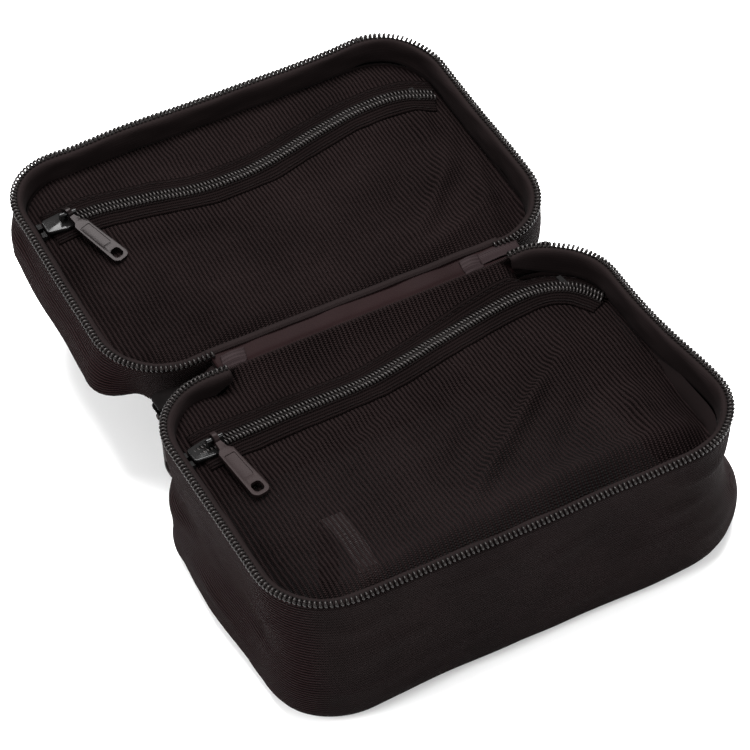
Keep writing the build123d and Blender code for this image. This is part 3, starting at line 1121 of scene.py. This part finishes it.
def makeChain(name):
    half = halves[name]
    for side, word in ((1, "Rear"), (-1, "Front")):
        frames = chainFrames(name, link["pitch"], link["apart"], side, link["over"])
        if side > 0:
            step = Vector((link["pitch"] / 2 * mm, 0, 0))
            frames = [Matrix.Translation(f.to_3x3() @ step) @ f for f in frames]
        slant = Matrix.Rotation(math.radians(link["slant"]), 4, "Z")
        coil = strew(f"{name}ChainCoil{word}", linkTooth, [f @ slant for f in frames])
        finishPiece(coil, half["body"], "zip_coil", hard["coilNylon"], [name + "_pocket_coils"])
        line = splinePoints(chains[name], 1.5)

        def tapeSurface(u, v, line=line, side=side):
            at = u * (len(line) - 1)
            i = min(int(at), len(line) - 2)
            here = line[i].lerp(line[i + 1], at - i)
            along = (line[i + 1] - line[i]).normalized()
            across = Vector((-along.y, along.x, 0)) * side
            spot = here + across * (pocketTape["start"] + v * pocketTape["width"])
            limit = halfLength - pocketTape["edge"]
            x = max(-limit, min(limit, spot.x))
            over = pocketTape["over"] - pocketTape["fall"] * v
            return inMetres(x, spot.y, meshHeight(name, x, spot.y) + over)

        tape = clothGrid(f"{name}PocketTape{word}", 180, 8, tapeSurface,
                         0.14, 0.0062, half["matrix"])
        faceUp(tape, upOf(half))
        thicken(tape, pocketTape["thickness"] * mm)
        finishPiece(tape, half["body"], "zip_tape", cloths["pocketTape"], [name + "_pocket_tapes"])


for name in halves:
    for side in (1, -1):
        meshPanelPiece(name, side)
    makeChain(name)
print("mesh pockets made")

for pattern in (rimTooth, linkTooth):
    bpy.data.objects.remove(pattern)

# seams: rows of stitches along the pocket tapes


def makeStitch(length, radius):
    deselectAll()
    bpy.ops.mesh.primitive_cylinder_add(vertices=6, radius=radius * mm, depth=length * mm)
    piece = bpy.context.object
    bpy.ops.object.mode_set(mode="EDIT")
    bpy.ops.mesh.select_all(action="SELECT")
    bpy.ops.transform.rotate(value=math.pi / 2, orient_axis="Y", center_override=(0, 0, 0))
    bpy.ops.mesh.bevel(offset=radius * mm / 2, segments=1)
    bpy.ops.object.mode_set(mode="OBJECT")
    return piece


seamRows = {                     # offset from the chain, spacing, stitch length, radius, height
    "PocketSeam": (6.0, 2.4, 1.7, 0.15, 0.62),
    "CoilSeam": (2.6, link["pitch"], 0.75, 0.17, 0.95),
}
for name in halves:
    half = halves[name]
    up = upOf(half)
    for word, (offset, spacing, length, radius, over) in seamRows.items():
        stitch = makeStitch(length, radius)
        line = splinePoints(chains[name], spacing)
        places = []
        for side in (1, -1):
            for i in range(1, len(line) - 1):
                along = (line[i + 1] - line[i]).normalized()
                spot = line[i] + Vector((-along.y, along.x, 0)) * side * offset
                if edgeDistance(spot.x, spot.y, 4.8) < 0:
                    continue
                here = meshPlace(name, spot.x, spot.y, over)
                places.append(frameAt(here, half["matrix"].to_3x3() @ along, up))
        seam = strew(name + word, stitch, places)
        finishPiece(seam, half["body"], "zip_tape", hard["seamThread"])
        bpy.data.objects.remove(stitch)
print("seams made")

# hinge

hinge = {
    "left": pouch["hingeLeft"] - 1.5,
    "right": pouch["hingeRight"] + 1.5,
    "sag": 1.0,
    "thickness": 0.5,
    "pull": 0.5,                     # height of the small waves in its cloth
    "closeRun": 0.05,                # share of the length over which the outer roll closes
    "liningCut": (0.099, 0.023),
    "outerCut": (0.099, 0.013),
}


def hingeProfile(under):
    # Points in the YZ plane from the base's inner wall over both rims to the lid's.
    lidUp = Matrix.Rotation(math.radians(pouch["lidTilt"]), 2)
    corner = Vector((hingeY, baseDepth - pouch["lidDrop"]))

    def lidPoint(inset, z):
        return corner + lidUp @ Vector((inset, z))

    rim = baseDepth
    middle = Vector(((halfWidth + hingeY) / 2, rim - 2.2 - hinge["sag"]))
    points = [
        Vector((halfWidth - 2.6, rim - 5.4)), Vector((halfWidth - 1.6, rim - 3.8)),
        Vector((halfWidth - 0.3, rim - 2.2)), Vector((halfWidth + 1.2, rim - 2.0)), middle,
        lidPoint(0.2, -0.9), lidPoint(2.4, -0.7), lidPoint(3.8, -3.0), lidPoint(4.05, -8.2),
    ]
    if under:
        points = [
            Vector((halfWidth + 0.2, rim - 7.4)), Vector((halfWidth + 0.5, rim - 4.8)),
            Vector(((halfWidth + hingeY) / 2, rim - 3.6 - hinge["sag"])),
            lidPoint(-0.5, -4.6), lidPoint(-0.2, -7.4),
        ]
    return points


def smoothLine(points, t):
    at = t * (len(points) - 1)
    i = min(int(at), len(points) - 2)
    t = at - i
    a = points[max(i - 1, 0)]
    b, c = points[i], points[i + 1]
    d = points[min(i + 2, len(points) - 1)]
    curve = (2 * a - 5 * b + 4 * c - d) * t ** 2 + (3 * b - a - 3 * c + d) * t ** 3
    return 0.5 * (2 * b + (c - a) * t + curve)


def bridge(piece, slotName, material, stands):
    # The piece hangs between the halves; it is attached to neither half's body.
    faceUp(piece)
    thicken(piece, hinge["thickness"] * mm)
    finishPiece(piece, None, slotName, material, stands)
    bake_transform(piece)


def hingeSheet(label, under, slotName, material, stands):
    profile = hingeProfile(under)

    def surface(u, v):
        x = hinge["left"] + (hinge["right"] - hinge["left"]) * u
        spot = smoothLine(profile, v)
        if under:                     # its ends close up against the lining
            closing = math.sin(clamp(min(u, 1 - u) / hinge["closeRun"]) * math.pi / 2)
            above = smoothLine(hingeProfile(False), 0.25 + 0.375 * v) - Vector((0, 0.7))
            spot = above.lerp(spot, closing)
        pull = ripple(x, spot.x, 5.0, 0.09) * hinge["pull"] * math.sin(math.pi * v)
        return inMetres(x, spot.x, spot.y + pull)

    piece = clothGrid(label, 96, 48, surface, 0.1, 0.03)
    bridge(piece, slotName, material, stands)
    return piece


hingeLining = hingeSheet("hingeLining", False, "lining", cloths["satin"], ["hinge_lining_strip"])
hingeOuter = hingeSheet("hingeOuter", True, "shell_fabric", cloths["shell"], ["hinge_outer_strip"])


ribbons = {                      # left, right, first and last share of the hinge, skew
    "leftRibbonTab": (-46.5, -38.5, 0.22, 0.60, 3.0),
    "rightRibbonTab": (36.5, 43.0, 0.26, 0.62, 2.0),
    "rightRibbonFold": (43.4, 57.4, 0.45, 0.61, 1.0),
}


def ribbonPiece(label, node, left, right, first, last, skew):
    # A folded ribbon laid over the hinge between two shares of its profile.
    profile = hingeProfile(False)

    def surface(u, v):
        spot = smoothLine(profile, first + (last - first) * v)
        x = left + (right - left) * u + skew * (v - 0.5)
        lift = 0.45 + 0.5 * math.sin(math.pi * u) + 0.25 * math.sin(2 * math.pi * v)
        return inMetres(x, spot.x, spot.y + lift)

    piece = clothGrid(label, 24, 24, surface, 0.008, 0.008)
    bridge(piece, "ribbon", cloths["ribbon"], [node])


for label, node in (("leftRibbonTab", "left_ribbon_tab"), ("rightRibbonTab", "right_ribbon_tab"),
                    ("rightRibbonFold", "right_ribbon_fold")):
    ribbonPiece(label, node, *ribbons[label])

zipTail = {
    "start": 46.5, "end": 66.5, "width": 2.2, "gap": 0.85, "startDrop": 4.6, "endDrop": 9.5,
    "thickness": 0.5, "wave": 0.2,
}


def makeZipTail(word, side):
    # The ends of the two zip tapes, side by side through the parked main slider.
    strips = []
    for across in (-1, 1):
        def surface(u, v, across=across):
            x = side * (zipTail["start"] + (zipTail["end"] - zipTail["start"]) * u)
            fall = (zipTail["endDrop"] - zipTail["startDrop"]) * ease(min(1.0, u / 0.5))
            z = baseDepth - zipTail["startDrop"] - fall
            y = (halfWidth + hingeY) / 2 + across * (zipTail["gap"] + zipTail["width"] * v)
            return inMetres(x, y, z + ripple(x, y, 7.0, 0.1) * zipTail["wave"])

        strip = clothGrid(word + "ZipTail", 36, 6, surface, 0.0225, 0.0022)
        faceUp(strip)
        thicken(strip, zipTail["thickness"] * mm, 0.0)
        strips.append(strip)
    joinPieces(*strips)
    strips[0].name = word + "ZipTail"
    finishPiece(strips[0], "base", "zip_tape", cloths["tape"])


makeZipTail("left", -1)
makeZipTail("right", 1)


binding = {
    "fold": [(0.9, -0.35), (1.8, 0.25), (3.0, 0.1), (3.9, -0.8), (4.2, -3.0), (4.3, -7.5)],
    "past": 1.0,                     # how far it runs past the hinge's ends
    "thickness": 0.5,
    "sway": 0.7,
}


def hingeBinding():
    # The dark tape that binds the lid's mesh and lining to its hinge edge.
    left, right = hinge["left"] - binding["past"], hinge["right"] + binding["past"]

    def surface(u, v):
        inset, z = pathAt(binding["fold"], v)
        x = left + (right - left) * u
        sway = ripple(x, 0, 14.0, 0.06) * binding["sway"]
        return inMetres(x, inset + sway - halfWidth, z)

    piece = clothGrid("lidHingeBinding", 120, 20, surface, 0.1, 0.012, lidMatrix)
    faceUp(piece)
    thicken(piece, binding["thickness"] * mm)
    finishPiece(piece, "lid", "zip_tape", cloths["tape"])


hingeBinding()
print("hinge made")

# elastic loop under the base's mesh

strap = {
    "left": -46.0, "right": -39.5, "near": -36.5, "far": -4.0, "top": -9.6, "drop": 34.0,
    "thickness": 0.8, "wave": 0.3,
}


def makeStrap():
    def surface(u, v):
        x = strap["left"] + (strap["right"] - strap["left"]) * u
        angle = math.pi * (1 - v)
        reach = math.copysign(abs(math.cos(angle)) ** 0.6, math.cos(angle))
        y = (strap["near"] + strap["far"]) / 2 + (strap["far"] - strap["near"]) / 2 * reach
        z = strap["top"] - strap["drop"] * (1 - math.sin(angle) ** 0.4)
        return inMetres(x, y, z + ripple(x, y, 3.0, 0.1) * strap["wave"])

    piece = clothGrid("elasticLoop", 14, 90, surface, 0.0065, 0.09, baseMatrix)
    thicken(piece, strap["thickness"] * mm)
    finishPiece(piece, "base", "elastic", cloths["elastic"], ["base_elastic_loop"])


makeStrap()

# finishes on the CAD pieces that stay

castRound = 0.22                 # the castings' edges, rounded off
cast = {
    "base_pocket_slider": ("base_slider", "slider_enamel", hard["blackEnamel"]),
    "lid_pocket_slider": ("lid_slider", "slider_enamel", hard["blackEnamel"]),
    "left_main_slider": ("base", "slider_enamel", hard["mattEnamel"]),
    "right_main_slider": ("base", "slider_enamel", hard["mattEnamel"]),
    "base_pocket_pull": ("base_pull", "pull_enamel", hard["pullEnamel"]),
    # the lid's pull takes the darker copy of the pull enamel: painted shade
    "lid_pocket_pull": ("lid_pull", "pull_enamel", hard["pullPaintedShade"]),
    "left_main_pull": ("left_pull", "pull_enamel", hard["pullEnamel"]),
    "right_main_pull": ("right_pull", "pull_enamel", hard["pullEnamel"]),
}


def roundedCopy(nodeName, body, slotName, material):
    # A copy of a hard piece with its sharp edges rounded, as a casting's are.
    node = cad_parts[nodeName]
    mesh = node.data.copy()
    mesh.transform(node.matrix_world)
    copy = bpy.data.objects.new(nodeName + "Cast", mesh)
    bpy.context.scene.collection.objects.link(copy)
    tidyNormals(copy, merge=0.00002)
    bevel = copy.modifiers.new("rounding", "BEVEL")
    bevel.width = castRound * mm
    bevel.segments = 3
    bevel.limit_method = "ANGLE"
    bevel.angle_limit = math.radians(40)
    applyModifiers(copy)
    pick(copy)
    bpy.ops.object.shade_smooth_by_angle(angle=math.radians(35))
    finishPiece(copy, body, slotName, material, [nodeName])


for nodeName, (body, slotName, material) in cast.items():
    roundedCopy(nodeName, body, slotName, material)

kept = {
    "base_stiffener_board": hard["boardPlastic"],
    "base_pocket_stops": hard["blackEnamel"], "lid_pocket_stops": hard["blackEnamel"],
}
for nodeName, material in kept.items():
    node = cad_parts[nodeName]
    for materialSlot in node.material_slots:
        materialSlot.material = material
    if not node.material_slots:
        node.data.materials.append(material)

bpy.context.scene.view_settings.view_transform = "Standard"

# floor, light and camera

view = {
    "azimuth": -25.744,
    "elevation": 44.093,
    "distance": 0.82665,
    "target": (-0.00974, 0.02497, 0.049),
    "roll": -3.33,
    "lens": 134.14,
}

deselectAll()
bpy.ops.mesh.primitive_plane_add(size=6, location=(0, 0, 0))
floor = bpy.context.object
floor.name = "floor"
floorPaint, nodes, links, shader = newMaterial("floorPaint")
shader.inputs["Base Color"].default_value = (0.92, 0.92, 0.92, 1)
shader.inputs["Roughness"].default_value = 0.9
shader.inputs["Specular IOR Level"].default_value = 0.1
floor.data.materials.append(floorPaint)


lights = {                       # place, aim, size in metres, power
    "overhead": ((0.15, 0.45, 1.2), (0, 0.05, 0), (0.9, 0.7), 60),
    "leftSoft": ((-1.1, -0.1, 0.8), (0, 0, 0.03), (0.6, 0.8), 18),
    "rightSoft": ((1.1, -0.5, 0.5), (0.05, 0, 0.03), (0.5, 0.5), 7),
    "frontFill": ((0.5, -1.2, 0.7), (0, 0, 0.03), (0.9, 0.6), 12),
}
worldLight = 0.55


def areaLight(name, place, aim, size, power):
    data = bpy.data.lights.new(name, "AREA")
    data.shape = "RECTANGLE"
    data.size, data.size_y = size
    data.energy = power
    lamp = bpy.data.objects.new(name, data)
    lamp.location = place
    lamp.rotation_euler = (Vector(aim) - Vector(place)).to_track_quat("-Z", "Y").to_euler()
    bpy.context.scene.collection.objects.link(lamp)


for name, light in lights.items():
    areaLight(name, *light)

world = bpy.data.worlds.new("studio")
bpy.context.scene.world = world
world.use_nodes = True
backdrop = world.node_tree.nodes["Background"]
backdrop.inputs["Color"].default_value = (1, 1, 1, 1)
backdrop.inputs["Strength"].default_value = worldLight

camera = bpy.data.cameras.new("camera")
camera.lens = view["lens"]
camera.sensor_width = 36
eye = bpy.data.objects.new("camera", camera)
bpy.context.scene.collection.objects.link(eye)
azimuth, elevation = math.radians(view["azimuth"]), math.radians(view["elevation"])
level = math.cos(elevation)
backward = Vector((math.sin(azimuth) * level, -math.cos(azimuth) * level, math.sin(elevation)))
across = Vector((0, 0, 1)).cross(backward).normalized()
above = backward.cross(across)
roll = math.radians(view["roll"])
rolledX = across * math.cos(roll) + above * math.sin(roll)
rolledY = -across * math.sin(roll) + above * math.cos(roll)
turn = Matrix((rolledX, rolledY, backward)).transposed().to_4x4()
eye.matrix_world = Matrix.Translation(Vector(view["target"]) + backward * view["distance"]) @ turn
bpy.context.scene.camera = eye
print("stage set")
